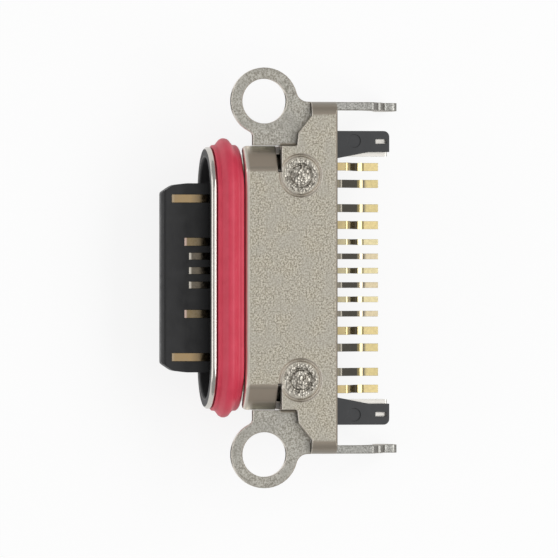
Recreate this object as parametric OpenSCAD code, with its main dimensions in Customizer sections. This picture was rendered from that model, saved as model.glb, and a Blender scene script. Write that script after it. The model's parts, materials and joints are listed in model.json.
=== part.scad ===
// Sealed, reversible charging port with two screw ears, for the main board of a phone.
// +Z is up, the mouth faces -Y and X runs along the mouth. The origin is on the mid-plane of the
// tongue, below the middle of the screw line, which runs from one screw hole to the other.

/* [Mouth] */
// Width of the plug opening
opening_w = 8.34; // [8.2:0.01:8.6]
// Height of the plug opening
opening_h = 2.56; // [2.5:0.01:2.7]
// Wall of the drawn tube
shell_wall = 0.12; // [0.1:0.01:0.2]
// From the screw line forward to the lip
shell_front = 1.9; // [1.8:0.01:2.2]
// From the screw line back to the tube's rear end
shell_rear = 1.95; // [1.94:0.01:2.2]
// Height of the rolled lip above the tube
lip_h = 0.26; // [0.15:0.01:0.28]
// Length of the rolled lip along the tube
lip_len = 0.23; // [0.2:0.01:0.35]

/* [Gasket] */
// Length of the gasket along the tube
gasket_len = 0.92; // [0.9:0.01:1.1]
// Thickness of the gasket's body
gasket_t = 0.33; // [0.25:0.01:0.4]
// Height of the sealing rib above the body
rib_h = 0.23; // [0.15:0.01:0.26]
// Width of the rib at its foot
rib_w = 0.56; // [0.5:0.01:0.58]
// From the gasket's front to the rib's crest
rib_setback = 0.43; // [0.4:0.01:0.5]

/* [Sheet metal] */
// Thickness of the stamped sheets
sheet_t = 0.28; // [0.2:0.01:0.3]
// Free strip of tube between the gasket and the cover
cover_gap = 0.03; // [0.02:0.01:0.2]
// How far the cover reaches back past the housing
cover_overhang = 0.12; // [0.05:0.01:0.3]
// Width of the flaps at the cover's front corners, seen from above
flap_w = 0.91; // [0.8:0.01:1]
// Inner bend radius of the flaps
flap_bend = 0.06; // [0.04:0.01:0.15]
// Inner bend radius of the wings
wing_bend = 0.21; // [0.15:0.01:0.3]
// Front of the wings' bends
wing_y = 1.62; // [1.55:0.01:1.7]
// Front of the relief slit behind each flap
slit_y = 0.42; // [0.3:0.01:0.6]
// Width of the relief slit
slit_w = 0.14; // [0.1:0.01:0.25]
// Front of each wing's stepped shoulder
shoulder_y = 1.1; // [0.95:0.01:1.3]
// How far the stepped shoulder stands out
shoulder_w = 0.45; // [0.3:0.01:0.6]
// Gap between the housing's posts and the side walls
side_gap = 0.71; // [0.6:0.01:1]
// Radius of the stamped ring round a weld
weld_ring_r = 0.7; // [0.6:0.01:0.8]
// Radius of the weld itself
weld_r = 0.38; // [0.3:0.01:0.5]
// Distance of the welds from the middle
weld_x = 3.54; // [3.3:0.01:3.7]
// Distance of the welds behind the screw line
weld_y = 1.22; // [1.2:0.01:1.3]

/* [Screw ears] */
// Distance between the screw holes
ear_spacing = 12.23; // [12:0.01:13]
// Diameter of a screw hole
ear_hole_d = 1.55; // [1.2:0.01:1.6]
// Outer diameter of the ring round a screw hole
ear_d = 2.33; // [2.2:0.01:2.5]
// From the screw line forward to the front edge of an ear's neck
neck_front = 0.4; // [0.3:0.01:0.6]
// From the screw line back to the rear edge of an ear's neck
neck_rear = 1.9; // [1.8:0.01:1.93]
// Radius of the inner corner between neck and ring
neck_fillet = 0.2; // [0.1:0.01:0.3]
// Radius of the inner corner between ring and rear edge
web_fillet = 0.4; // [0.3:0.01:0.45]
// Inner bend radius of the bracket below the tube
cup_bend = 0.57; // [0.4:0.01:0.7]
// Inner radius of the bend between the bracket's wall and an ear
ear_bend = 0.12; // [0.08:0.01:0.2]
// Gap between the ears and the cover's sheet
ear_gap = 0.04; // [0.02:0.01:0.08]

/* [Solder legs] */
// Height of the arm that carries a leg
arm_h = 0.62; // [0.5:0.01:0.7]
// How far the leg reaches back past the housing
leg_reach = 2.6; // [2.5:0.01:2.8]
// Width of the leg where it enters the board
leg_w = 0.7; // [0.5:0.01:0.8]
// How far the leg goes below the board's upper face
leg_depth = 1.01; // [0.8:0.01:1.2]

/* [Tongue and housing] */
// Width of the tongue
tongue_w = 6.56; // [6.4:0.01:6.7]
// Thickness of the tongue
tongue_t = 0.7; // [0.65:0.01:0.75]
// How far the tongue stands out of the mouth
tongue_reach = 1.55; // [1.2:0.01:1.6]
// Depth of the mouth
mouth_depth = 2.9; // [2.8:0.01:3.1]
// Thickness of the tongue's root
root_t = 1.2; // [1.1:0.01:1.4]
// Length of the tongue's root
root_len = 0.7; // [0.5:0.01:0.9]
// Length of the block behind the tube
block_len = 0.45; // [0.4:0.01:0.6]
// Height of the board's upper face below the mid-plane
board_drop = 0.95; // [0.9:0.01:1.05]
// Width of a rear post
post_w = 0.73; // [0.7:0.01:0.9]
// Length of a rear post
post_len = 2.17; // [2:0.01:2.3]
// Height of a rear post above the mid-plane
post_rise = 0.3; // [0.25:0.01:0.5]
// Thickness of the sealing resin round the housing
potting_t = 0.2; // [0.15:0.01:0.25]
// Length of the sealing resin along the tube
potting_len = 0.4; // [0.3:0.01:0.45]

/* [Contacts] */
// Pitch of the contacts on the tongue
contact_spacing = 0.5; // [0.48:0.01:0.52]
// Thickness of the contact strip
contact_t = 0.12; // [0.1:0.01:0.15]
// How far the contacts stand proud of the tongue
contact_proud = 0.015; // [0.005:0.005:0.03]
// Width of a ground or power contact on the tongue
wide_pad_w = 0.28; // [0.24:0.01:0.32]
// Width of a signal contact on the tongue
signal_pad_w = 0.24; // [0.2:0.01:0.26]
// Width of a ground or power tail
wide_tail_w = 0.28; // [0.25:0.01:0.32]
// Width of a signal tail
signal_tail_w = 0.2; // [0.16:0.01:0.24]
// Pitch of the signal tails
signal_tail_pitch = 0.5; // [0.48:0.01:0.52]
// Distance of the inner power tail from the middle
power_tail_x = 1.84; // [1.8:0.01:1.9]
// From the side of the plug opening in to the outermost tail
ground_inset = 0.3; // [0.25:0.01:0.4]
// Pitch of a pair of power or ground tails
pair_pitch = 0.59; // [0.5:0.01:0.62]
// From the tongue's tip back to the ground contacts
ground_setback = 0.36; // [0.3:0.01:0.5]
// From the tongue's tip back to the power contacts
power_setback = 0.8; // [0.6:0.01:1]
// From the tongue's tip back to the signal contacts
signal_setback = 0.96; // [0.8:0.01:1.1]
// Straight length of an upper tail behind the housing
upper_tail_run = 0.7; // [0.6:0.01:0.8]
// Straight length of a lower tail behind the housing
lower_tail_run = 0.56; // [0.45:0.01:0.65]
// Corner of an upper solder foot behind the housing
upper_foot_start = 1.06; // [0.95:0.01:1.15]
// Corner of a lower solder foot behind the housing
lower_foot_start = 1.33; // [1.2:0.01:1.4]
// End of all solder feet behind the housing
foot_end = 1.97; // [1.8:0.01:2.1]

/* [Mid-plate] */
// Thickness of the plate between the contact rows
plate_t = 0.15; // [0.12:0.01:0.18]
// From the tongue's tip back to the plate's front edge
plate_setback = 0.35; // [0.3:0.01:0.5]
// From the lip back to the latch notches in the tongue's sides
latch_setback = 0.73; // [0.6:0.01:1]
// Length of a latch notch
latch_len = 0.6; // [0.5:0.01:0.7]
// Depth of a latch notch
latch_depth = 0.25; // [0.2:0.01:0.3]
// Length of the tab that locks the plate's leg into the post
tab_len = 0.38; // [0.3:0.01:0.45]
// Gap between the outermost tail and the plate's rear leg
leg_gap = 0.22; // [0.15:0.01:0.3]

/* [Hidden] */
$fn = 64;
// Margin by which a cutting shape passes its target
over = 1;
// Length by which shapes of one piece reach into each other
lap = 0.05;

// Tube
core = opening_w - opening_h;
shell_hw = opening_w / 2 + shell_wall;
shell_hh = opening_h / 2 + shell_wall;
mouth_lead = 0.08;
lip_edge = 0.48 * lip_len;

// Stations along Y, from the mouth to the tails
lip_y = -shell_front;
gasket_y = lip_y + lip_len;
cover_y = gasket_y + gasket_len + cover_gap;
tip_y = lip_y - tongue_reach;
mouth_y = lip_y + mouth_depth;
root_y = mouth_y - root_len;
potting_y = shell_rear - potting_len;
block_y = shell_rear + block_len;
cover_end = block_y + cover_overhang;

// Widths, from the tails out to the side walls
ground_outer_x = opening_w / 2 - ground_inset;
ground_inner_x = ground_outer_x - pair_pitch;
plate_leg_in = ground_outer_x + wide_tail_w / 2 + leg_gap;
plate_leg_out = plate_leg_in + plate_t;
post_out = plate_leg_out + post_w;
post_skin = 0.09;
post_in = plate_leg_in - post_skin;
wall_in = post_out + side_gap;
wall_out = wall_in + sheet_t;

// Sheet metal
cup_x = shell_hw - cup_bend;
cup_z = shell_hh - cup_bend;
flap_x = shell_hw + sheet_t;
crease_x = flap_x - flap_w;
// A flap falls 3 in 4
flap_angle = atan2(3, 4);
flap_run = (flap_w - (flap_bend + sheet_t) * sin(flap_angle)) / cos(flap_angle);
edge_r = 0.16;
rear_bevel = 0.06;
blank_r = 0.1;
nick_r = 0.05;
toe_r = 0.2;
wall_rake = 0.2;
wing_x = wall_in - wing_bend;
wing_z = shell_hh - wing_bend;
shoulder_rise = 0.05;
weld_groove = 0.05;
weld_crown = 0.04;
bracket_front = slit_y + slit_w;
ear_z = shell_hh - ear_gap - sheet_t / 2;

// Solder legs
leg_y = block_y + leg_reach;
leg_tip_z = -board_drop - leg_depth;
arm_drop = 0.28;
arm_z = wing_z - arm_drop;
arm_run = 1.53;
link_drop = 0.62;
link_step = 0.24;
ledge_len = 0.12;
ledge_drop = 0.05;
link_w = 0.95;
toe_rise = 0.45;
toe_z = -board_drop + toe_rise;
prong_taper = 0.16;
prong_point = 0.4;

// Contact rows
upper_z = tongue_t / 2 + contact_proud - contact_t / 2;
foot_z = -board_drop + contact_t / 2;
tail_bend = 0.14;
fan_cover = 0.1;
fan_y = root_y + fan_cover;
fan_end = block_y - fan_cover;
foot_bend = 0.55;
// Rows of [name, kind, side of the middle, place of the tail]
upper_row = [
    ["upper_ground_left", "ground", -1, -ground_outer_x],
    ["upper_power_left", "power", -1, -power_tail_x],
    ["upper_config", "config", -1, -2.5 * signal_tail_pitch],
    ["upper_data_plus", "data", -1, -0.5 * signal_tail_pitch],
    ["upper_data_minus", "data", 1, 1.5 * signal_tail_pitch],
    ["upper_power_right", "power", 1, power_tail_x],
    ["upper_ground_right", "ground", 1, ground_outer_x]
];
lower_row = [
    ["lower_ground_left", "ground", -1, -ground_inner_x],
    ["lower_power_left", "power", -1, -power_tail_x - pair_pitch],
    ["lower_data_minus", "data", -1, -1.5 * signal_tail_pitch],
    ["lower_data_plus", "data", 1, 0.5 * signal_tail_pitch],
    ["lower_config", "config", 1, 2.5 * signal_tail_pitch],
    ["lower_power_right", "power", 1, power_tail_x + pair_pitch],
    ["lower_ground_right", "ground", 1, ground_inner_x]
];

// Tongue tip
tip_len = 0.4;
cheek_len = 0.9;

// Latches and locks
latch_y = lip_y + latch_setback;
tab_setback = 1.685;
tab_y = block_y + tab_setback;
lock_hole = 0.5;

// Place of a kind of contact on the tongue, counted in spacings from the middle
function place(kind) =
    kind == "ground" ? 5.5 :
    kind == "power" ? 2.5 :
    kind == "config" ? 1.5 :
    0.5;

function unit(v) = v / norm(v);

// Arc of radius r that replaces the corner b between the points a and c
function corner(a, b, c, r, steps = 8) =
    r == 0 ? [b] :
    let (
        u = unit(a - b),
        v = unit(c - b),
        half = acos(u * v) / 2,
        centre = b + unit(u + v) * r / sin(half),
        from = b + u * r / tan(half) - centre,
        to = b + v * r / tan(half) - centre,
        start = atan2(from.y, from.x),
        turn = atan2(cross(from, to), from * to)
    )
    [for (i = [0 : steps]) centre + r * [cos(start + turn * i / steps), sin(start + turn * i / steps)]];

function xy(p) = [p.x, p.y];

// Closed outline from corners given as [x, y, radius]
function rounded(pts) =
    let (n = len(pts))
    [for (i = [0 : n - 1])
        let (before = xy(pts[(i + n - 1) % n]), after = xy(pts[(i + 1) % n]))
        each corner(before, xy(pts[i]), after, pts[i].z)];

// Open path through corners given as [x, y, radius], the radius of its ends being 0
function bent(pts) =
    let (n = len(pts))
    [for (i = [0 : n - 1])
        let (before = xy(pts[max(i - 1, 0)]), after = xy(pts[min(i + 1, n - 1)]))
        each corner(before, xy(pts[i]), after, pts[i].z)];

// The path moved sideways by d
function beside(path, d) =
    let (n = len(path))
    [for (i = [0 : n - 1])
        let (
            before = unit(path[max(i, 1)] - path[max(i, 1) - 1]),
            after = unit(path[min(i, n - 2) + 1] - path[min(i, n - 2)]),
            normal_a = [-before.y, before.x],
            normal_b = [-after.y, after.x]
        )
        path[i] + d * (normal_a + normal_b) / (1 + normal_a * normal_b)];

// Outline of a strip of thickness t along a path
function strip(path, t) =
    let (right = beside(path, -t / 2), n = len(path))
    concat(beside(path, t / 2), [for (i = [1 : n]) right[n - i]]);

// Closed outline from the corners of its right half, given from front to back
function mirrored(half) =
    let (n = len(half))
    concat(half, [for (i = [1 : n]) [-half[n - i].x, half[n - i].y, half[n - i].z]]);

module both_sides() {
    children();
    mirror([1, 0, 0]) children();
}

// A shape drawn in (Y, Z), extruded along X from x0 to x1
module along_x(x0, x1) {
    translate([x0, 0, 0])
        rotate([90, 0, 90])
            linear_extrude(x1 - x0) children();
}

// A shape drawn in (X, Z), extruded along Y from y0 to y1
module along_y(y0, y1) {
    translate([0, y1, 0])
        rotate([90, 0, 0])
            linear_extrude(y1 - y0) children();
}

// A shape drawn in (X, Y), extruded along Z from z0 to z1
module along_z(z0, z1) {
    translate([0, 0, z0])
        linear_extrude(z1 - z0) children();
}

// The mouth's round-ended outline, grown by d
module mouth_outline(d = 0) {
    square([core, opening_h + 2 * d], center = true);
    for (side = [-1, 1]) {
        translate([side * core / 2, 0]) circle(d = opening_h + 2 * d);
    }
}

// Sweeps a profile round the mouth's outline: its x is the distance from the core line, its y is Y
module round_mouth() {
    rotate([-90, 0, 0]) {
        for (turn = [-90, 90]) {
            rotate([0, 0, turn]) {
                translate([0, core / 2, 0])
                    rotate_extrude(angle = 180) children();
                rotate([90, 0, 0])
                    linear_extrude(core, center = true) children();
            }
        }
    }
}

// Cross-section of a sheet from y0 to y1, with the die roll on its outer front edge
module sheet_section(y0, y1, roll = 0) {
    polygon(rounded([[0, y0, 0], [sheet_t, y0, roll], [sheet_t, y1, 0], [0, y1, 0]]));
}

// Bend about an axis along Y, from "start" degrees, counted from +X towards -Z. It has a short flat
// that laps into the sheet before it, and a flat of length "run" behind it.
module bend(x, z, r, start, angle = 90, run = lap) {
    translate([x, 0, z])
        rotate([-90, 0, 0])
            rotate([0, 0, start]) {
                rotate_extrude(angle = angle) translate([r, 0]) children();
                bend_flat(r, lap) children();
                rotate([0, 0, angle]) mirror([0, 1, 0]) bend_flat(r, run) children();
            }
}

module bend_flat(r, length) {
    rotate([90, 0, 0])
        linear_extrude(length)
            translate([r, 0]) children();
}

// Flat sheet on the tube, as far as hw on both sides of the middle
module over_tube(hw) {
    rotate([0, -90, 0])
        linear_extrude(2 * hw, center = true)
            translate([shell_hh, 0]) children();
}

// Sheet laid over the flat of the tube and bent down both sides to z_end
module saddle(z_end) {
    over_tube(cup_x) children();
    both_sides() {
        bend(cup_x, cup_z, cup_bend, -90) children();
        along_z(z_end, cup_z) translate([shell_hw, 0]) children();
    }
}

// Fused plug between a sheet and the tube's rounded shoulder
module weld_plug(x, y) {
    difference() {
        translate([x, y, 0]) cylinder(r = weld_r, h = shell_hh);
        along_y(y - 2 * weld_r, y + 2 * weld_r) mouth_outline(shell_wall);
    }
}

// Round seams of the given radii, cut into a sheet's outer face
module weld_seams(x, y, radii) {
    translate([x, y, shell_hh + sheet_t]) {
        for (r = radii) {
            rotate_extrude() translate([r, 0]) circle(weld_groove);
        }
    }
}

// Low crown of a weld
module weld_cap(x, y) {
    cap_r = weld_r - weld_groove;
    ball_r = (cap_r * cap_r + weld_crown * weld_crown) / (2 * weld_crown);
    intersection() {
        translate([x, y, shell_hh + sheet_t + weld_crown - ball_r]) sphere(ball_r);
        translate([x, y, shell_hh]) cylinder(r = cap_r, h = sheet_t + weld_crown);
    }
}

module front_shell() {
    tube_in = opening_h / 2;
    color("#bdbab4")
        round_mouth()
            polygon(rounded([
                [tube_in, lip_y, mouth_lead],
                [shell_hh + lip_h, lip_y, lip_edge],
                [shell_hh + lip_h, gasket_y, lip_edge],
                [shell_hh, gasket_y, 0],
                [shell_hh, shell_rear, 0],
                [tube_in, shell_rear, 0]
            ]));
}

module sealing_gasket() {
    front_edge = 0.45 * (rib_setback - rib_w / 2);
    rear_edge = 0.55 * (gasket_len - rib_setback - rib_w / 2);
    crest_w = 0.2;
    crest_r = 0.9 * crest_w;
    foot_r = 0.12;
    outer = shell_hh + gasket_t;
    crest = outer + rib_h;
    rib_y = gasket_y + rib_setback;
    color("#c9384b")
        round_mouth()
            polygon(rounded([
                [shell_hh, gasket_y, 0],
                [outer, gasket_y, front_edge],
                [outer, rib_y - rib_w / 2, foot_r],
                [crest, rib_y - crest_w / 2, crest_r],
                [crest, rib_y + crest_w / 2, crest_r],
                [outer, rib_y + rib_w / 2, foot_r],
                [outer, gasket_y + gasket_len, rear_edge],
                [shell_hh, gasket_y + gasket_len, 0]
            ]));
}

// Side wall of a wing with its arm and its leg through the board, drawn in (Y, Z)
module side_wall() {
    arm_end = block_y + arm_run;
    toe_y = arm_end + 2 * link_step + ledge_len;
    prong_y = leg_y - leg_w;
    polygon(rounded([
        [wing_y, wing_z, 0],
        [cover_end, wing_z, 0],
        [cover_end, arm_z, blank_r],
        [arm_end, arm_z, blank_r],
        [arm_end + link_step, arm_z - link_drop, nick_r],
        [arm_end + link_step + ledge_len, arm_z - link_drop - ledge_drop, nick_r],
        [toe_y, toe_z, blank_r],
        [leg_y, toe_z, toe_r],
        [leg_y, leg_tip_z + prong_point, blank_r],
        [leg_y - prong_taper, leg_tip_z, blank_r],
        [prong_y + prong_taper, leg_tip_z, blank_r],
        [prong_y, leg_tip_z + prong_point, blank_r],
        [prong_y, -board_drop, blank_r],
        [toe_y - link_w, arm_z - arm_h, toe_r],
        [wing_y + wall_rake, arm_z - arm_h, blank_r]
    ]));
}

module cover_plate() {
    roof = mirrored([
        [crease_x, 0, 0],
        [crease_x, bracket_front, 0],
        [flap_x, bracket_front, nick_r],
        [flap_x, shoulder_y, nick_r],
        [flap_x + shoulder_w, shoulder_y + shoulder_rise, blank_r],
        [wing_x, wing_y, 0],
        [wing_x, cover_end, 0]
    ]);
    top = shell_hh + sheet_t;
    color("#a59e91") {
        difference() {
            union() {
                over_tube(crease_x) sheet_section(cover_y, slit_y, edge_r);
                along_z(shell_hh, top) polygon(rounded(roof));
                both_sides() {
                    bend(crease_x, shell_hh - flap_bend, flap_bend, -90, flap_angle, flap_run)
                        sheet_section(cover_y, slit_y, edge_r);
                    bend(wing_x, wing_z, wing_bend, -90) sheet_section(wing_y, cover_end);
                    along_x(wall_in, wall_out) side_wall();
                    weld_plug(weld_x, weld_y);
                }
            }
            both_sides() weld_seams(weld_x, weld_y, [weld_r, weld_ring_r]);
            along_x(-wall_out, wall_out)
                polygon([
                    [cover_end - rear_bevel, top],
                    [cover_end + rear_bevel, top - 2 * rear_bevel],
                    [cover_end + rear_bevel, top + rear_bevel]
                ]);
        }
        both_sides() weld_cap(weld_x, weld_y);
    }
}

// Flat outline of an ear: ring and neck, with a web in each corner between them
module ear_outline() {
    hole_x = ear_spacing / 2;
    ring_r = ear_d / 2;
    // The neck runs close past the cover's flap in front, and into the bracket's bend behind it
    side_x = flap_x + ear_gap / 4;
    root_x = flap_x + ear_bend;
    // Fillet between the neck's front edge and the ring
    fillet_y = -neck_front - neck_fillet;
    fillet_x = hole_x - sqrt(pow(ring_r + neck_fillet, 2) - fillet_y * fillet_y);
    touch = [hole_x, 0] + unit([fillet_x - hole_x, fillet_y]) * ring_r;
    // Fillet between the ring and the neck's outer edge, which is flush with the side wall
    web_x = wall_out + web_fillet;
    web_y = sqrt(pow(ring_r + web_fillet, 2) - pow(web_x - hole_x, 2));
    web_touch = [hole_x, 0] + unit([web_x - hole_x, web_y]) * ring_r;
    difference() {
        union() {
            translate([hole_x, 0]) circle(ring_r);
            polygon([
                [side_x, -neck_front],
                [fillet_x, -neck_front],
                [fillet_x, fillet_y],
                touch,
                [hole_x, 0],
                web_touch,
                [web_x, web_y],
                [wall_out, web_y],
                [wall_out, neck_rear],
                [root_x, neck_rear],
                [root_x, bracket_front],
                [side_x, bracket_front]
            ]);
        }
        translate([fillet_x, fillet_y]) circle(neck_fillet);
        translate([web_x, web_y]) circle(web_fillet);
        translate([hole_x, 0]) circle(d = ear_hole_d);
        // Room for the wing's bend and side wall
        translate([wing_x - ear_gap, wing_y]) square([wall_out, neck_rear]);
    }
}

module ear_bracket() {
    bend_z = ear_z - sheet_t / 2 - ear_bend;
    seam_x = cup_x - weld_r - 2 * weld_groove;
    seam_y = (bracket_front + neck_rear) / 2;
    color("#9d988d") {
        mirror([0, 0, 1]) {
            difference() {
                union() {
                    saddle(-bend_z) sheet_section(bracket_front, neck_rear);
                    both_sides() weld_plug(seam_x, seam_y);
                }
                both_sides() weld_seams(seam_x, seam_y, [weld_r]);
            }
            both_sides() {
                bend(flap_x + ear_bend, -bend_z, ear_bend, 90)
                    sheet_section(bracket_front, neck_rear);
                weld_cap(seam_x, seam_y);
            }
        }
        both_sides()
            along_z(ear_z - sheet_t / 2, ear_z + sheet_t / 2) ear_outline();
    }
}

// One contact: a strip that follows its side view, cut to its plan. It lies on the tongue at height z,
// fans out inside the housing and, after a straight run behind it, drops to its solder foot.
module contact(kind, side, tail_x, run, foot_start, z) {
    outer = kind == "ground";
    wide = outer || kind == "power";
    pad_x = side * place(kind) * contact_spacing;
    pad_hw = (wide ? wide_pad_w : signal_pad_w) / 2;
    tail_hw = (wide ? wide_tail_w : signal_tail_w) / 2;
    front = tip_y + (outer ? ground_setback : wide ? power_setback : signal_setback);
    rear = block_y + foot_end;
    line = bent([
        [front, z, 0],
        [block_y + run, z, tail_bend],
        [block_y + foot_start, foot_z, foot_bend],
        [rear, foot_z, 0]
    ]);
    color("#d8b36a")
        intersection() {
            along_x(min(pad_x, tail_x) - over, max(pad_x, tail_x) + over)
                polygon(strip(line, contact_t));
            along_z(-board_drop - over, tongue_t)
                polygon([
                    [pad_x - pad_hw, front],
                    [pad_x + pad_hw, front],
                    [pad_x + pad_hw, fan_y],
                    [tail_x + tail_hw, fan_end],
                    [tail_x + tail_hw, rear],
                    [tail_x - tail_hw, rear],
                    [tail_x - tail_hw, fan_end],
                    [pad_x - pad_hw, fan_y]
                ]);
        }
}

module upper_contact(row) {
    contact(row[1], row[2], row[3], upper_tail_run, upper_foot_start, upper_z);
}

module lower_contact(row) {
    contact(row[1], row[2], row[3], lower_tail_run, lower_foot_start, -upper_z);
}

module latch_notches() {
    both_sides()
        translate([tongue_w / 2 - latch_depth, latch_y, -tongue_t])
            cube([latch_depth + over, latch_len, 2 * tongue_t]);
}

module mid_plate() {
    hw = tongue_w / 2;
    front = tip_y + plate_setback;
    full_y = tip_y + cheek_len;
    nose_inset = 0.4;
    bar_skin = 0.08;
    bar_len = 0.22;
    bar_rear = block_y - bar_skin;
    bar_front = bar_rear - bar_len;
    leg_skin = 0.03;
    leg_end = block_y + post_len - leg_skin;
    tab_reach = 0.45;
    plate = mirrored([
        [hw - nose_inset, front, blank_r],
        [hw, full_y, 0],
        [hw, mouth_y, 0],
        [hw - nose_inset, mouth_y + nose_inset, blank_r],
        [hw - nose_inset, bar_front, blank_r],
        [plate_leg_out, bar_front, 0],
        [plate_leg_out, bar_rear, 0]
    ]);
    color("#c6c3bd") {
        difference() {
            along_z(-plate_t / 2, plate_t / 2) polygon(rounded(plate));
            for (x = [-1, 0, 1] * tongue_w / 4) {
                translate([x, latch_y, -plate_t]) cylinder(d = lock_hole, h = 2 * plate_t);
            }
            latch_notches();
        }
        both_sides() {
            along_x(plate_leg_in, plate_leg_out)
                polygon(rounded([
                    [bar_front, plate_t / 2, 0],
                    [leg_end, plate_t / 2, blank_r],
                    [leg_end, -board_drop, blank_r],
                    [block_y, -board_drop, blank_r],
                    [bar_front, -plate_t / 2, 0]
                ]));
            along_z(-plate_t / 2, plate_t / 2)
                translate([plate_leg_in, tab_y]) square([plate_t + tab_reach, tab_len]);
        }
    }
}

module rear_potting() {
    color("#4a4540")
        round_mouth()
            translate([opening_h / 2 - potting_t, potting_y]) square([potting_t, potting_len]);
}

// Tongue with its tapered tip and rounded front edges
module tongue() {
    tip_taper = 0.33;
    cheek_taper = 0.06;
    tip_edge = 0.18;
    tip_corner = 0.15;
    cheek_r = 0.5;
    hw = tongue_w / 2;
    hh = tongue_t / 2;
    intersection() {
        along_z(-hh, hh)
            polygon(rounded(mirrored([
                [hw - tip_taper, tip_y, tip_corner],
                [hw - cheek_taper, tip_y + tip_len, cheek_r],
                [hw, tip_y + cheek_len, cheek_r],
                [hw, mouth_y, 0]
            ])));
        along_x(-hw, hw)
            polygon(rounded([
                [mouth_y, -hh, 0],
                [tip_y, -hh, tip_edge],
                [tip_y, hh, tip_edge],
                [mouth_y, hh, 0]
            ]));
    }
}

// Post behind the housing that stands on the board
module post() {
    rear = block_y + post_len;
    post_corner = 0.2;
    // The inner face slants back to the plate's leg
    slant_start = 0.25;
    slant_len = 1.2;
    slant_y = block_y + slant_start;
    slant_end = slant_y + slant_len;
    // Slot over the plate's tab
    slot_inset = 0.29;
    slot_w = 0.155;
    // Mark of the ejector pin
    pin_inset = 0.38;
    pin_setback = 0.93;
    pin_r = 0.23;
    pin_depth = 0.03;
    difference() {
        along_z(-board_drop, post_rise)
            polygon(rounded([
                [post_in, block_y - lap, 0],
                [post_out, block_y - lap, 0],
                [post_out, rear, post_corner],
                [plate_leg_out, rear, 0],
                [plate_leg_out, slant_end, 0],
                [post_in, slant_y, 0]
            ]));
        along_z(0, post_rise + over)
            translate([plate_leg_out + slot_inset, tab_y]) square([slot_w, tab_len]);
        translate([plate_leg_out + pin_inset, block_y + pin_setback, post_rise - pin_depth])
            cylinder(r = pin_r, h = over);
    }
}

module tongue_housing() {
    root_side = 0.15;
    root_w = tongue_w + 2 * root_side;
    root_corner = 0.25;
    block_inset = 0.1;
    block_corner = 0.3;
    color("#26262a")
        difference() {
            union() {
                tongue();
                along_y(root_y, mouth_y + lap)
                    polygon(rounded(mirrored([
                        [root_w / 2, -root_t / 2, root_corner],
                        [root_w / 2, root_t / 2, root_corner]
                    ])));
                along_y(mouth_y, potting_y) mouth_outline();
                along_y(mouth_y, shell_rear + lap) mouth_outline(-potting_t);
                along_y(shell_rear, block_y)
                    polygon(rounded(mirrored([
                        [post_out, -shell_hh + block_inset, block_corner],
                        [post_out, shell_hh, block_corner]
                    ])));
                both_sides() post();
            }
            latch_notches();
            mid_plate();
            for (row = upper_row) upper_contact(row);
            for (row = lower_row) lower_contact(row);
        }
}

front_shell();
sealing_gasket();
cover_plate();
ear_bracket();
tongue_housing();
mid_plate();
rear_potting();
for (row = upper_row) {
    upper_contact(row);
}
for (row = lower_row) {
    lower_contact(row);
}
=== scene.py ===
import json
import math

import bpy
from mathutils import Matrix, Vector

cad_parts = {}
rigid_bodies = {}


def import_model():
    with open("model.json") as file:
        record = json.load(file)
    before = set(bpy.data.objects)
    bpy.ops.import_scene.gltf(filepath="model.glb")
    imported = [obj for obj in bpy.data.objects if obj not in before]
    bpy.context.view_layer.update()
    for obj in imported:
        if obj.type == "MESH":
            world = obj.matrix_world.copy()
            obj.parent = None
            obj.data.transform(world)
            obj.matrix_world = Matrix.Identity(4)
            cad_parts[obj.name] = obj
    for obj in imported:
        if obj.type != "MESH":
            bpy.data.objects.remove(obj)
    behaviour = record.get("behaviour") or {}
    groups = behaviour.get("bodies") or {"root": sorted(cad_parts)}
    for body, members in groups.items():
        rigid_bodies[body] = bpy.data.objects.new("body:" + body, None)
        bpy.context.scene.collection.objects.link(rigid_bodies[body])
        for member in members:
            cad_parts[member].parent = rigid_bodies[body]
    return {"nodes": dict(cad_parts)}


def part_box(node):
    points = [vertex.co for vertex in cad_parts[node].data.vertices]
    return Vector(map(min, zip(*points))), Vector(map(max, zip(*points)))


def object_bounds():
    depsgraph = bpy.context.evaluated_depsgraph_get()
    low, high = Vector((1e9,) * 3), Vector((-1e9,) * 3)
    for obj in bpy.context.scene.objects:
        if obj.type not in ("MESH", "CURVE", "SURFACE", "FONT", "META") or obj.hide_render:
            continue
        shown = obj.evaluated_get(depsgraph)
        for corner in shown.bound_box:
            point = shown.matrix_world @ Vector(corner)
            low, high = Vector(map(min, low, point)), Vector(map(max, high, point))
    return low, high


for leftover in list(bpy.data.objects):
    bpy.data.objects.remove(leftover)
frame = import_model()
cad_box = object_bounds()

# Mid-plate: a thin stainless sheet between the two contact rows, blanked, bent and moulded into
# the tongue. Its latch notches, its rear legs and the tabs in the posts show.
# Rolled stainless, left bright: pale and clean, with fine rolling lines along the strip.


def linear(hex_colour):
    """The linear RGBA of an sRGB hex colour."""
    channels = [int(hex_colour[i : i + 2], 16) / 255 for i in (1, 3, 5)]
    return [c / 12.92 if c <= 0.04045 else ((c + 0.055) / 1.055) ** 2.4 for c in channels] + [1.0]


def add(tree, kind, values=None, links=None, **settings):
    """Adds a node with its settings, its input values and its links from other nodes' outputs."""
    node = tree.nodes.new(kind)
    for name, value in settings.items():
        setattr(node, name, value)
    for name, value in (values or {}).items():
        node.inputs[name].default_value = value
    for name, output in (links or {}).items():
        tree.links.new(output, node.inputs[name])
    return node


def start_material(name, **values):
    """A new material, its node tree and its principled shader with these socket values."""
    material = bpy.data.materials.new(name)
    material.use_nodes = True
    shader = material.node_tree.nodes["Principled BSDF"]
    for socket, value in values.items():
        shader.inputs[socket.replace("_", " ")].default_value = value
    return material, material.node_tree, shader


def dress(node, material):
    """Gives a CAD node's object this material."""
    slots = frame["nodes"][node].data.materials
    slots.clear()
    slots.append(material)


MM = 0.001
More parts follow.
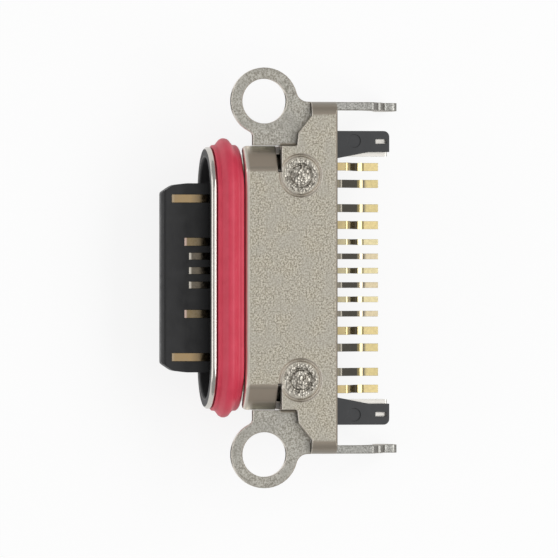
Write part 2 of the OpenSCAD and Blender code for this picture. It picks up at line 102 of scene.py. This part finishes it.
# Real rolling lines are finer, and are drawn coarse enough to show
ROLLING_LINE = 0.06 * MM
ROLLING_STRETCH = 0.05
# The range that a noise texture mostly keeps to
NOISE_LOW, NOISE_HIGH = 0.3, 0.7
ROLLED_SMOOTH, ROLLED_DULL = 0.16, 0.34
rolled, tree, shader = start_material(
    "rolled_stainless_bright", Base_Color=linear("#d2cfc9"), Metallic=1.0
)
place = add(tree, "ShaderNodeTexCoord")
drawn_out = add(
    tree,
    "ShaderNodeMapping",
    {"Scale": (1, ROLLING_STRETCH, 1)},
    {"Vector": place.outputs["Object"]},
)
lines = add(
    tree,
    "ShaderNodeTexNoise",
    {"Scale": 1 / ROLLING_LINE, "Detail": 2.0},
    {"Vector": drawn_out.outputs["Vector"]},
)
dull = add(
    tree,
    "ShaderNodeMapRange",
    {
        "From Min": NOISE_LOW,
        "From Max": NOISE_HIGH,
        "To Min": ROLLED_SMOOTH,
        "To Max": ROLLED_DULL,
    },
    {"Value": lines.outputs["Fac"]},
)
tree.links.new(dull.outputs["Result"], shader.inputs["Roughness"])
dress("mid_plate", rolled)

# Contacts: fourteen strips of copper alloy, stamped, bent and moulded into the housing. Plated with
# hard gold on grounds and powers and a gold flash on signals: pale and shiny on the feet and browned
# where the plug wipes them. Painted on top: a highlight on the front ends, shade darkening the pads
# towards the mouth, and dark bands of painted shade on the tails' slopes and heels.
EDGE_ROUND = 0.02 * MM
# Real specks are finer, and are drawn coarse enough to show
SPECKLE = 0.08 * MM
RUBBED_SHARE = 0.25
PLATED_FROM = 1.9 * MM
PLATED_FULL = 3.6 * MM
# The front ends are lighter, a painted highlight
HIGHLIGHT_TIP = 0.05 * MM
# Painted shade: the pads darken towards the mouth
SHADE_FROM = -2.45 * MM
SHADE_FULL = -2.1 * MM
SHADE_SHARE = 0.6
GOLD_SMOOTH, GOLD_DULL = 0.1, 0.2


def plated_strip(name, tip_highlight_tone, wiped, plated, slope_shade_tone, bands, tails):
    """Plates these contacts: front ends with a painted highlight, wiped pads in painted shade towards the
    mouth, plated feet and bands of painted shade, each given by where along Y, in mm, it starts, is
    full, begins to fade and ends."""
    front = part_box(tails[0])[0].y
    material, tree, shader = start_material(name, Metallic=1.0)
    place = add(tree, "ShaderNodeTexCoord")
    along = add(tree, "ShaderNodeSeparateXYZ", links={"Vector": place.outputs["Object"]})
    speckle = add(
        tree,
        "ShaderNodeTexNoise",
        {"Scale": 1 / SPECKLE, "Detail": 2.0},
        {"Vector": place.outputs["Object"]},
    )
    behind = add(
        tree,
        "ShaderNodeMapRange",
        {"From Min": PLATED_FROM, "From Max": PLATED_FULL},
        {"Value": along.outputs["Y"]},
    )
    tone = add(
        tree,
        "ShaderNodeMix",
        {"A": linear(wiped), "B": linear(plated)},
        {"Factor": behind.outputs["Result"]},
        data_type="RGBA",
    )
    # Painted highlight: the front ends take a lighter tone
    tip_highlight = add(
        tree,
        "ShaderNodeMapRange",
        {
            "From Min": front + HIGHLIGHT_TIP,
            "From Max": front + 2 * HIGHLIGHT_TIP,
            "To Min": 1.0,
            "To Max": 0.0,
        },
        {"Value": along.outputs["Y"]},
    )
    tone = add(
        tree,
        "ShaderNodeMix",
        {"B": linear(tip_highlight_tone)},
        {"A": tone.outputs["Result"], "Factor": tip_highlight.outputs["Result"]},
        data_type="RGBA",
    )
    # Painted shade: the pads darken towards the mouth, to this share of a dark brown
    painted_shade = add(
        tree,
        "ShaderNodeMapRange",
        {"From Min": SHADE_FROM, "From Max": SHADE_FULL, "To Min": 0.0, "To Max": SHADE_SHARE},
        {"Value": along.outputs["Y"]},
    )
    worked = add(tree, "ShaderNodeMath", {1: PLATED_FROM}, {0: along.outputs["Y"]}, operation="LESS_THAN")
    painted_shade = add(
        tree,
        "ShaderNodeMath",
        links={0: painted_shade.outputs["Result"], 1: worked.outputs["Value"]},
        operation="MULTIPLY",
    )
    tone = add(
        tree,
        "ShaderNodeMix",
        {"B": linear("#3d372e")},
        {"A": tone.outputs["Result"], "Factor": painted_shade.outputs["Value"]},
        data_type="RGBA",
    )
    rubbed = add(
        tree,
        "ShaderNodeMapRange",
        {"From Min": 0.35, "From Max": 0.75, "To Min": 0.0, "To Max": RUBBED_SHARE},
        {"Value": speckle.outputs["Fac"]},
    )
    tone = add(
        tree,
        "ShaderNodeMix",
        {"B": linear("#8d8170")},
        {"A": tone.outputs["Result"], "Factor": rubbed.outputs["Result"]},
        data_type="RGBA",
    )
    # Bands of painted shade: the tails' slopes and heels are painted dark
    for start, full, last, end in bands:
        rise = add(
            tree,
            "ShaderNodeMapRange",
            {"From Min": start * MM, "From Max": full * MM},
            {"Value": along.outputs["Y"]},
        )
        fall = add(
            tree,
            "ShaderNodeMapRange",
            {"From Min": last * MM, "From Max": end * MM, "To Min": 1.0, "To Max": 0.0},
            {"Value": along.outputs["Y"]},
        )
        band = add(
            tree,
            "ShaderNodeMath",
            links={0: rise.outputs["Result"], 1: fall.outputs["Result"]},
            operation="MULTIPLY",
        )
        tone = add(
            tree,
            "ShaderNodeMix",
            {"B": linear(slope_shade_tone)},
            {"A": tone.outputs["Result"], "Factor": band.outputs["Value"]},
            data_type="RGBA",
        )
    dull = add(
        tree,
        "ShaderNodeMapRange",
        {
            "From Min": NOISE_LOW,
            "From Max": NOISE_HIGH,
            "To Min": GOLD_SMOOTH,
            "To Max": GOLD_DULL,
        },
        {"Value": speckle.outputs["Fac"]},
    )
    edges = add(tree, "ShaderNodeBevel", {"Radius": EDGE_ROUND})
    tree.links.new(tone.outputs["Result"], shader.inputs["Base Color"])
    tree.links.new(dull.outputs["Result"], shader.inputs["Roughness"])
    tree.links.new(edges.outputs["Normal"], shader.inputs["Normal"])
    for tail in tails:
        dress(tail, material)


# Each plating: its contacts, the front ends' tone, lighter as a painted highlight, and the wiped pads'
# tone
PLATINGS = {
    "hard_gold_ground": (["ground_left", "ground_right"], "#93836c", "#8d7858"),
    "hard_gold_power": (["power_left", "power_right"], "#a8938a", "#6d5f47"),
    "gold_flash_signal": (["config", "data_plus", "data_minus"], "#aaa59c", "#57524a"),
}
# Each row has its own copy: the lower row's tones are a little darker and its first dark band starts
# nearer the housing, as painted shade under the cover. The bands' tones are painted shade.
for row, gold, flash, slope_shade_tone, bands in (
    ("upper", "#d1bf8a", "#d3c79c", "#5a5244", [(3.13, 3.16, 3.6, 3.63)]),
    ("lower", "#c9b985", "#cabc9c", "#706c63", [(2.45, 2.95, 3.6, 3.63), (3.8, 3.82, 3.83, 3.97)]),
):
    for plating, (kinds, tip_highlight_tone, wiped) in PLATINGS.items():
        plated = flash if plating == "gold_flash_signal" else gold
        tails = [f"{row}_{kind}" for kind in kinds]
        plated_strip(f"{plating}_{row}", tip_highlight_tone, wiped, plated, slope_shade_tone, bands, tails)

# Housing: one black moulding round the mid-plate and the contacts, with the tongue in front and a
# post on each side at the back. Glass-filled liquid-crystal polymer, as it comes out of the mould:
# black, satin to matt with faint flow marks, and greyer on the spark-eroded posts.
POSTS_FROM = 2.4 * MM
FLOW_MARK = 0.5 * MM
# Real fibres are finer, and are drawn coarse enough to show
FIBRE_GRAIN = 0.05 * MM
FIBRE_HEIGHT = 0.002 * MM
MOULDED_SATIN, MOULDED_MATT = 0.4, 0.54
moulding, tree, shader = start_material("glass_filled_black_moulding", IOR=1.5)
place = add(tree, "ShaderNodeTexCoord")
flow = add(
    tree,
    "ShaderNodeTexNoise",
    {"Scale": 1 / FLOW_MARK, "Detail": 3.0, "Distortion": 0.6},
    {"Vector": place.outputs["Object"]},
)
fibre = add(
    tree,
    "ShaderNodeTexNoise",
    {"Scale": 1 / FIBRE_GRAIN, "Detail": 1.0},
    {"Vector": place.outputs["Object"]},
)
tone = add(
    tree,
    "ShaderNodeMix",
    {"A": linear("#0d0d0f"), "B": linear("#161618")},
    {"Factor": flow.outputs["Fac"]},
    data_type="RGBA",
)
along = add(tree, "ShaderNodeSeparateXYZ", links={"Vector": place.outputs["Object"]})
eroded = add(
    tree,
    "ShaderNodeMapRange",
    {"From Min": POSTS_FROM, "From Max": POSTS_FROM + FIBRE_GRAIN},
    {"Value": along.outputs["Y"]},
)
tone = add(
    tree,
    "ShaderNodeMix",
    {"B": linear("#343537")},
    {"A": tone.outputs["Result"], "Factor": eroded.outputs["Result"]},
    data_type="RGBA",
)
dull = add(
    tree,
    "ShaderNodeMapRange",
    {
        "From Min": NOISE_LOW,
        "From Max": NOISE_HIGH,
        "To Min": MOULDED_SATIN,
        "To Max": MOULDED_MATT,
    },
    {"Value": flow.outputs["Fac"]},
)
edges = add(tree, "ShaderNodeBevel", {"Radius": EDGE_ROUND})
grain = add(
    tree,
    "ShaderNodeBump",
    {"Strength": 1.0, "Distance": FIBRE_HEIGHT},
    {"Height": fibre.outputs["Fac"], "Normal": edges.outputs["Normal"]},
)
tree.links.new(tone.outputs["Result"], shader.inputs["Base Color"])
tree.links.new(dull.outputs["Result"], shader.inputs["Roughness"])
tree.links.new(grain.outputs["Normal"], shader.inputs["Normal"])
dress("tongue_housing", moulding)

# Resin: cured round the back of the housing to seal it in the tube.
# Dark amber epoxy: glossy, with a slow ripple from setting.
RIPPLE = 0.6 * MM
RIPPLE_HEIGHT = 0.02 * MM
resin, tree, shader = start_material(
    "cured_epoxy", Base_Color=linear("#3a2f26"), Roughness=0.15, IOR=1.55
)
place = add(tree, "ShaderNodeTexCoord")
wave = add(tree, "ShaderNodeTexNoise", {"Scale": 1 / RIPPLE}, {"Vector": place.outputs["Object"]})
ripple = add(
    tree,
    "ShaderNodeBump",
    {"Strength": 1.0, "Distance": RIPPLE_HEIGHT},
    {"Height": wave.outputs["Fac"]},
)
tree.links.new(ripple.outputs["Normal"], shader.inputs["Normal"])
dress("rear_potting", resin)

# Shell: a tube drawn from stainless sheet, with its front edge rolled out into a lip, tumbled, and
# dark and matt inside and on its front face. On the front face the dark is painted shade.
# Tumbled stainless: bright and faintly pitted. The dark finish is matt and not metallic.
TUMBLED_SMOOTH, TUMBLED_DULL = 0.14, 0.24
# Real pits are finer, and are drawn coarse enough to show
PIT = 0.07 * MM
MOUTH_CORE = 2.89 * MM
COAT_REACH = 1.33 * MM
COAT_DULL = 0.6
drawn, tree, shader = start_material("drawn_stainless_tumbled")
place = add(tree, "ShaderNodeTexCoord")
pits = add(
    tree,
    "ShaderNodeTexNoise",
    {"Scale": 1 / PIT, "Detail": 2.0},
    {"Vector": place.outputs["Object"]},
)
tone = add(
    tree,
    "ShaderNodeMix",
    {"A": linear("#bdb9b2"), "B": linear("#d2cec7")},
    {"Factor": pits.outputs["Fac"]},
    data_type="RGBA",
)
dull = add(
    tree,
    "ShaderNodeMapRange",
    {
        "From Min": NOISE_LOW,
        "From Max": NOISE_HIGH,
        "To Min": TUMBLED_SMOOTH,
        "To Max": TUMBLED_DULL,
    },
    {"Value": pits.outputs["Fac"]},
)
# Inside, the dark finish lies within a set distance of the line through the mouth's two round ends
spot = add(tree, "ShaderNodeSeparateXYZ", links={"Vector": place.outputs["Object"]})
aside = add(tree, "ShaderNodeMath", links={0: spot.outputs["X"]}, operation="ABSOLUTE")
aside = add(tree, "ShaderNodeMath", {1: MOUTH_CORE}, {0: aside.outputs["Value"]}, operation="SUBTRACT")
aside = add(tree, "ShaderNodeMath", {1: 0.0}, {0: aside.outputs["Value"]}, operation="MAXIMUM")
spoke = add(tree, "ShaderNodeCombineXYZ", links={"X": aside.outputs["Value"], "Z": spot.outputs["Z"]})
reach = add(tree, "ShaderNodeVectorMath", links={0: spoke.outputs["Vector"]}, operation="LENGTH")
inside = add(tree, "ShaderNodeMath", {1: COAT_REACH}, {0: reach.outputs["Value"]}, operation="LESS_THAN")
# Painted shade: faces that look to the front are darkened with the inside's dark, matt finish
facing = add(tree, "ShaderNodeSeparateXYZ", links={"Vector": place.outputs["Normal"]})
front = add(
    tree,
    "ShaderNodeMapRange",
    {"From Min": -0.98, "From Max": -0.9, "To Min": 1.0, "To Max": 0.0},
    {"Value": facing.outputs["Y"]},
)
coat_and_painted_shade = add(
    tree,
    "ShaderNodeMath",
    links={0: inside.outputs["Value"], 1: front.outputs["Result"]},
    operation="MAXIMUM",
)
tone = add(
    tree,
    "ShaderNodeMix",
    {"B": linear("#2c2c2d")},
    {"A": tone.outputs["Result"], "Factor": coat_and_painted_shade.outputs["Value"]},
    data_type="RGBA",
)
dull = add(
    tree,
    "ShaderNodeMix",
    {"B": COAT_DULL},
    {"A": dull.outputs["Result"], "Factor": coat_and_painted_shade.outputs["Value"]},
)
bare = add(tree, "ShaderNodeMath", {0: 1.0}, {1: coat_and_painted_shade.outputs["Value"]}, operation="SUBTRACT")
edges = add(tree, "ShaderNodeBevel", {"Radius": EDGE_ROUND})
tree.links.new(tone.outputs["Result"], shader.inputs["Base Color"])
tree.links.new(bare.outputs["Value"], shader.inputs["Metallic"])
tree.links.new(dull.outputs["Result"], shader.inputs["Roughness"])
tree.links.new(edges.outputs["Normal"], shader.inputs["Normal"])
dress("front_shell", drawn)

# Gasket: a red silicone ring stretched over the tube against the lip, with one sealing rib.
# Moulded silicone: a satin red, slightly cloudy in the colour.
CLOUD = 0.45 * MM
silicone, tree, shader = start_material("moulded_silicone_red", Roughness=0.44, IOR=1.41)
place = add(tree, "ShaderNodeTexCoord")
cloud = add(
    tree,
    "ShaderNodeTexNoise",
    {"Scale": 1 / CLOUD, "Detail": 3.0},
    {"Vector": place.outputs["Object"]},
)
tone = add(
    tree,
    "ShaderNodeMix",
    {"A": linear("#c12f45"), "B": linear("#d5455b")},
    {"Factor": cloud.outputs["Fac"]},
    data_type="RGBA",
)
tree.links.new(tone.outputs["Result"], shader.inputs["Base Color"])
dress("sealing_gasket", silicone)

# Ear bracket and cover: two stamped sheets welded to the tube, one from below with the screw ears,
# one from above with the wings and the solder legs. Matt stainless: a warm grey speckled with grains,
# burnished where it is bent, torn where it is cut, and glinting where a weld has melted it. Painted on
# top: shade on bends by their slope and on steep cut faces, light on the flaps' tips, and a highlight
# on rolled edges that face the mouth.
DIE_ROLL = 0.06 * MM
# Real grains and weld crystals are finer, and are drawn coarse enough to show
GRAIN = 0.06 * MM
GRAIN_HEIGHT = 0.006 * MM
MOTTLE = 0.8 * MM
CRYSTAL = 0.08 * MM
CRYSTAL_HEIGHT = 0.03 * MM
WELD_RADIUS = 0.64 * MM
WELD_FADE = 0.1 * MM
# Along Y, the flaps' rear end and the legs' front end. Along X, where painted light pales the flaps
FLAPS_TO = 0.45 * MM
LEGS_FROM = 2.55 * MM
FLAP_LIGHT_FROM = 4.25 * MM
FLAP_LIGHT_TO = 4.5 * MM
STAIN_SHARE = 0.3
BENT_DULL, MATT_DULL, TORN_DULL = 0.36, 0.4, 0.75


def matt_stainless(name, weld, dark, light, stain):
    """Matt stainless of these tones with a pair of welds, each at this place on its own side."""
    material, tree, shader = start_material(name, Metallic=1.0)
    place = add(tree, "ShaderNodeTexCoord")
    grain = add(
        tree,
        "ShaderNodeTexNoise",
        {"Scale": 1 / GRAIN, "Detail": 5.0, "Roughness": 0.75},
        {"Vector": place.outputs["Object"]},
    )
    mottle = add(
        tree,
        "ShaderNodeTexNoise",
        {"Scale": 1 / MOTTLE, "Detail": 2.0},
        {"Vector": place.outputs["Object"]},
    )
    crystal = add(
        tree,
        "ShaderNodeTexVoronoi",
        {"Scale": 1 / CRYSTAL},
        {"Vector": place.outputs["Object"]},
    )
    # Slopes are read as the normal's share along an axis, from 0, level with it, to 1, facing it.
    # The matt finish is full on the flat sheet and its walls, and gone on bends and rolled edges.
    edges = add(tree, "ShaderNodeBevel", {"Radius": DIE_ROLL})
    facing = add(tree, "ShaderNodeSeparateXYZ", links={"Vector": edges.outputs["Normal"]})
    across = add(tree, "ShaderNodeMath", links={0: facing.outputs["X"]}, operation="ABSOLUTE")
    endways = add(tree, "ShaderNodeMath", links={0: facing.outputs["Y"]}, operation="ABSOLUTE")
    level = add(tree, "ShaderNodeMath", links={0: facing.outputs["Z"]}, operation="ABSOLUTE")
    broad = add(
        tree,
        "ShaderNodeMath",
        links={0: across.outputs["Value"], 1: level.outputs["Value"]},
        operation="MAXIMUM",
    )
    flat = add(
        tree,
        "ShaderNodeMapRange",
        {"From Min": 0.99, "From Max": 0.9995},
        {"Value": broad.outputs["Value"]},
    )
    # Share of the weld, from the distance to its middle
    spot = add(tree, "ShaderNodeSeparateXYZ", links={"Vector": place.outputs["Object"]})
    aside = add(tree, "ShaderNodeMath", links={0: spot.outputs["X"]}, operation="ABSOLUTE")
    side = add(tree, "ShaderNodeCombineXYZ", links={"X": aside.outputs["Value"], "Y": spot.outputs["Y"]})
    reach = add(
        tree,
        "ShaderNodeVectorMath",
        {1: weld},
        {0: side.outputs["Vector"]},
        operation="DISTANCE",
    )
    melted = add(
        tree,
        "ShaderNodeMapRange",
        {
            "From Min": WELD_RADIUS - WELD_FADE,
            "From Max": WELD_RADIUS,
            "To Min": 1.0,
            "To Max": 0.0,
        },
        {"Value": reach.outputs["Value"]},
    )
    # The grain is plain in some places and nearly rubbed away in others
    speckle = add(
        tree,
        "ShaderNodeMapRange",
        {"From Min": 0.38, "From Max": 0.62},
        {"Value": grain.outputs["Fac"]},
    )
    rubbed = add(
        tree,
        "ShaderNodeMapRange",
        {"From Min": 0.4, "From Max": 0.6, "To Min": 0.6, "To Max": 1.8},
        {"Value": mottle.outputs["Fac"]},
    )
    speckle = add(
        tree,
        "ShaderNodeMix",
        {"A": 0.5},
        {"B": speckle.outputs["Result"], "Factor": rubbed.outputs["Result"]},
        clamp_factor=False,
    )
    tone = add(
        tree,
        "ShaderNodeMix",
        {"A": linear(dark), "B": linear(light)},
        {"Factor": speckle.outputs["Result"]},
        data_type="RGBA",
    )
    cloud = add(
        tree,
        "ShaderNodeMapRange",
        {"From Min": 0.35, "From Max": 0.65, "To Min": 0.0, "To Max": STAIN_SHARE},
        {"Value": mottle.outputs["Fac"]},
    )
    tone = add(
        tree,
        "ShaderNodeMix",
        {"B": linear(stain)},
        {"A": tone.outputs["Result"], "Factor": cloud.outputs["Result"]},
        data_type="RGBA",
    )
    # Bends are burnished, and their tone is painted shade by slope: dark at both ends of their curve and
    # lighter between. The flaps' facets get painted light towards their tips, and rolled edges that face
    # the mouth a painted highlight.
    steep = add(
        tree,
        "ShaderNodeMapRange",
        {"From Min": 0.64, "From Max": 0.78},
        {"Value": across.outputs["Value"]},
    )
    sloping = add(
        tree,
        "ShaderNodeMapRange",
        {"From Min": 0.1, "From Max": 0.32},
        {"Value": across.outputs["Value"]},
    )
    painted_bend_light = add(
        tree,
        "ShaderNodeMix",
        {"A": linear("#8c8377"), "B": linear("#aaa092")},
        {"Factor": sloping.outputs["Result"]},
        data_type="RGBA",
    )
    painted_bend_light = add(
        tree,
        "ShaderNodeMix",
        {"B": linear("#8d877d")},
        {"A": painted_bend_light.outputs["Result"], "Factor": steep.outputs["Result"]},
        data_type="RGBA",
    )
    flap = add(tree, "ShaderNodeMath", {1: FLAPS_TO}, {0: spot.outputs["Y"]}, operation="LESS_THAN")
    inclined = add(
        tree,
        "ShaderNodeMapRange",
        {"From Min": 0.45, "From Max": 0.58},
        {"Value": across.outputs["Value"]},
    )
    flap = add(
        tree,
        "ShaderNodeMath",
        links={0: flap.outputs["Value"], 1: inclined.outputs["Result"]},
        operation="MULTIPLY",
    )
    tip = add(
        tree,
        "ShaderNodeMapRange",
        {"From Min": FLAP_LIGHT_FROM, "From Max": FLAP_LIGHT_TO},
        {"Value": aside.outputs["Value"]},
    )
    # Painted light: the flaps' facets pale towards their tips
    painted_flap_light = add(
        tree,
        "ShaderNodeMix",
        {"A": linear("#bcaf9f"), "B": linear("#ebe9e0")},
        {"Factor": tip.outputs["Result"]},
        data_type="RGBA",
    )
    painted_bend_light = add(
        tree,
        "ShaderNodeMix",
        links={
            "A": painted_bend_light.outputs["Result"],
            "B": painted_flap_light.outputs["Result"],
            "Factor": flap.outputs["Value"],
        },
        data_type="RGBA",
    )
    # Painted highlight on rolled edges that face the mouth
    painted_roll_highlight = add(
        tree,
        "ShaderNodeMapRange",
        {"From Min": -0.12, "From Max": -0.04, "To Min": 1.0, "To Max": 0.0},
        {"Value": facing.outputs["Y"]},
    )
    painted_bend_light = add(
        tree,
        "ShaderNodeMix",
        {"B": linear("#e0d9ce")},
        {"A": painted_bend_light.outputs["Result"], "Factor": painted_roll_highlight.outputs["Result"]},
        data_type="RGBA",
    )
    tone = add(
        tree,
        "ShaderNodeMix",
        links={
            "A": painted_bend_light.outputs["Result"],
            "B": tone.outputs["Result"],
            "Factor": flat.outputs["Result"],
        },
        data_type="RGBA",
    )
    # Sheared edges, which face along the part or belong to the legs: neutral, and dark where steep, which
    # is painted shade
    leg = add(
        tree,
        "ShaderNodeMapRange",
        {"From Min": LEGS_FROM, "From Max": LEGS_FROM + DIE_ROLL},
        {"Value": spot.outputs["Y"]},
    )
    cut = add(
        tree,
        "ShaderNodeMapRange",
        {"From Min": 0.3, "From Max": 0.5, "To Min": 1.0, "To Max": 0.0},
        {"Value": across.outputs["Value"]},
    )
    leg_edge = add(
        tree,
        "ShaderNodeMath",
        links={0: leg.outputs["Result"], 1: cut.outputs["Result"]},
        operation="MULTIPLY",
    )
    sheet_end = add(
        tree,
        "ShaderNodeMapRange",
        {"From Min": 0.9, "From Max": 0.98},
        {"Value": endways.outputs["Value"]},
    )
    sheared = add(
        tree,
        "ShaderNodeMath",
        links={0: leg_edge.outputs["Value"], 1: sheet_end.outputs["Result"]},
        operation="MAXIMUM",
    )
    upright = add(
        tree,
        "ShaderNodeMapRange",
        {"From Min": 0.6, "From Max": 0.95},
        {"Value": level.outputs["Value"]},
    )
    torn = add(
        tree,
        "ShaderNodeMix",
        {"A": linear("#7f7e79"), "B": linear("#b2b1ac")},
        {"Factor": speckle.outputs["Result"]},
        data_type="RGBA",
    )
    torn_edge_and_shade = add(
        tree,
        "ShaderNodeMix",
        {"A": linear("#7d7a74")},
        {"B": torn.outputs["Result"], "Factor": upright.outputs["Result"]},
        data_type="RGBA",
    )
    tone = add(
        tree,
        "ShaderNodeMix",
        links={
            "A": tone.outputs["Result"],
            "B": torn_edge_and_shade.outputs["Result"],
            "Factor": sheared.outputs["Value"],
        },
        data_type="RGBA",
    )
    facet = add(
        tree,
        "ShaderNodeMix",
        {"A": linear("#655f56"), "B": linear("#cbc6bb")},
        {"Factor": crystal.outputs["Color"]},
        data_type="RGBA",
    )
    tone = add(
        tree,
        "ShaderNodeMix",
        links={
            "A": tone.outputs["Result"],
            "B": facet.outputs["Result"],
            "Factor": melted.outputs["Result"],
        },
        data_type="RGBA",
    )
    dull = add(
        tree,
        "ShaderNodeMapRange",
        {"To Min": BENT_DULL, "To Max": MATT_DULL},
        {"Value": flat.outputs["Result"]},
    )
    dull = add(
        tree,
        "ShaderNodeMix",
        {"B": TORN_DULL},
        {"A": dull.outputs["Result"], "Factor": sheet_end.outputs["Result"]},
    )
    peened = add(
        tree,
        "ShaderNodeBump",
        {"Distance": GRAIN_HEIGHT},
        {
            "Height": grain.outputs["Fac"],
            "Strength": flat.outputs["Result"],
            "Normal": edges.outputs["Normal"],
        },
    )
    frozen = add(
        tree,
        "ShaderNodeBump",
        {"Distance": CRYSTAL_HEIGHT},
        {
            "Height": crystal.outputs["Distance"],
            "Strength": melted.outputs["Result"],
            "Normal": peened.outputs["Normal"],
        },
    )
    tree.links.new(tone.outputs["Result"], shader.inputs["Base Color"])
    tree.links.new(dull.outputs["Result"], shader.inputs["Roughness"])
    tree.links.new(frozen.outputs["Normal"], shader.inputs["Normal"])
    return material


BRACKET_WELD = Vector((3.24, 1.23, 0)) * MM
bracket_steel = matt_stainless("matt_stainless_bracket", BRACKET_WELD, "#736f67", "#b9b7af", "#a39e92")
dress("ear_bracket", bracket_steel)
COVER_WELD = Vector((3.54, 1.22, 0)) * MM
cover_steel = matt_stainless("matt_stainless_cover", COVER_WELD, "#757066", "#c9c4b7", "#a89f8a")
dress("cover_plate", cover_steel)

# Studio: a pale floor that the legs and the gasket's rib rest on, a softbox overhead, a strip light
# low on the mouth side and another on the tail side, a dim room, and the camera above the mouth side.
FLOOR_SIZE = 2.0
GLOW_SHARE = 0.85
bpy.ops.mesh.primitive_plane_add(size=FLOOR_SIZE, location=(0, 0, cad_box[0].z))
floor = bpy.context.object
floor.name = "studio_floor"
# Matt white paper, which glows to the camera and in reflections, so that the background stays white
paper, tree, shader = start_material("white_paper", Base_Color=linear("#f4f4f4"), Roughness=0.9)
ray = add(tree, "ShaderNodeLightPath")
seen = add(
    tree,
    "ShaderNodeMath",
    links={0: ray.outputs["Is Camera Ray"], 1: ray.outputs["Is Glossy Ray"]},
    operation="ADD",
)
seen = add(
    tree,
    "ShaderNodeMath",
    links={0: seen.outputs["Value"], 1: ray.outputs["Is Transmission Ray"]},
    operation="ADD",
    use_clamp=True,
)
share = add(tree, "ShaderNodeMath", {1: GLOW_SHARE}, {0: seen.outputs["Value"]}, operation="MULTIPLY")
glow = add(tree, "ShaderNodeEmission", {"Color": (1, 1, 1, 1), "Strength": 1.0})
blend = add(
    tree,
    "ShaderNodeMixShader",
    links={0: share.outputs["Value"], 1: shader.outputs["BSDF"], 2: glow.outputs["Emission"]},
)
tree.links.new(blend.outputs["Shader"], tree.nodes["Material Output"].inputs["Surface"])
floor.data.materials.append(paper)

LAMP_DISTANCE = 0.2


def lamp(name, size, tilt, radiance):
    """A rectangular lamp that faces the part, tilted from overhead towards +Y by this angle."""
    light = bpy.data.lights.new(name, "AREA")
    light.shape = "RECTANGLE"
    light.size, light.size_y = size
    light.energy = radiance * math.pi * size[0] * size[1]
    lamp_object = bpy.data.objects.new(name, light)
    lamp_object.rotation_euler = (-math.radians(tilt), 0, 0)
    lamp_object.location = (
        0,
        LAMP_DISTANCE * math.sin(math.radians(tilt)),
        LAMP_DISTANCE * math.cos(math.radians(tilt)),
    )
    bpy.context.scene.collection.objects.link(lamp_object)


lamp("softbox", size=(0.14, 0.11), tilt=2, radiance=0.9)
lamp("tail_strip", size=(0.24, 0.11), tilt=44, radiance=3.0)
lamp("mouth_strip", size=(0.24, 0.11), tilt=-74, radiance=1.6)

room = bpy.data.worlds.new("dim_room")
room.use_nodes = True
room.node_tree.nodes["Background"].inputs["Color"].default_value = linear("#b2b2b2")
room.node_tree.nodes["Background"].inputs["Strength"].default_value = 1.0
bpy.context.scene.world = room

CAMERA_DISTANCE = 0.3
CAMERA_TILT = math.radians(9.3)
FRAME_WIDTH = 19.4 * MM
AIM = Vector((0.04, 0.73, 0)) * MM
NEAREST = 0.01
lens = bpy.data.cameras.new("camera")
lens.lens = lens.sensor_width * CAMERA_DISTANCE / FRAME_WIDTH
lens.clip_start = NEAREST
camera = bpy.data.objects.new("camera", lens)
bpy.context.scene.collection.objects.link(camera)
right = Vector((0, math.cos(CAMERA_TILT), math.sin(CAMERA_TILT)))
up = Vector((-1, 0, 0))
back = right.cross(up)
turn = Matrix((right, up, back)).transposed().to_4x4()
camera.matrix_world = Matrix.Translation(AIM + back * CAMERA_DISTANCE) @ turn
bpy.context.scene.camera = camera
bpy.context.scene.view_settings.view_transform = "Standard"
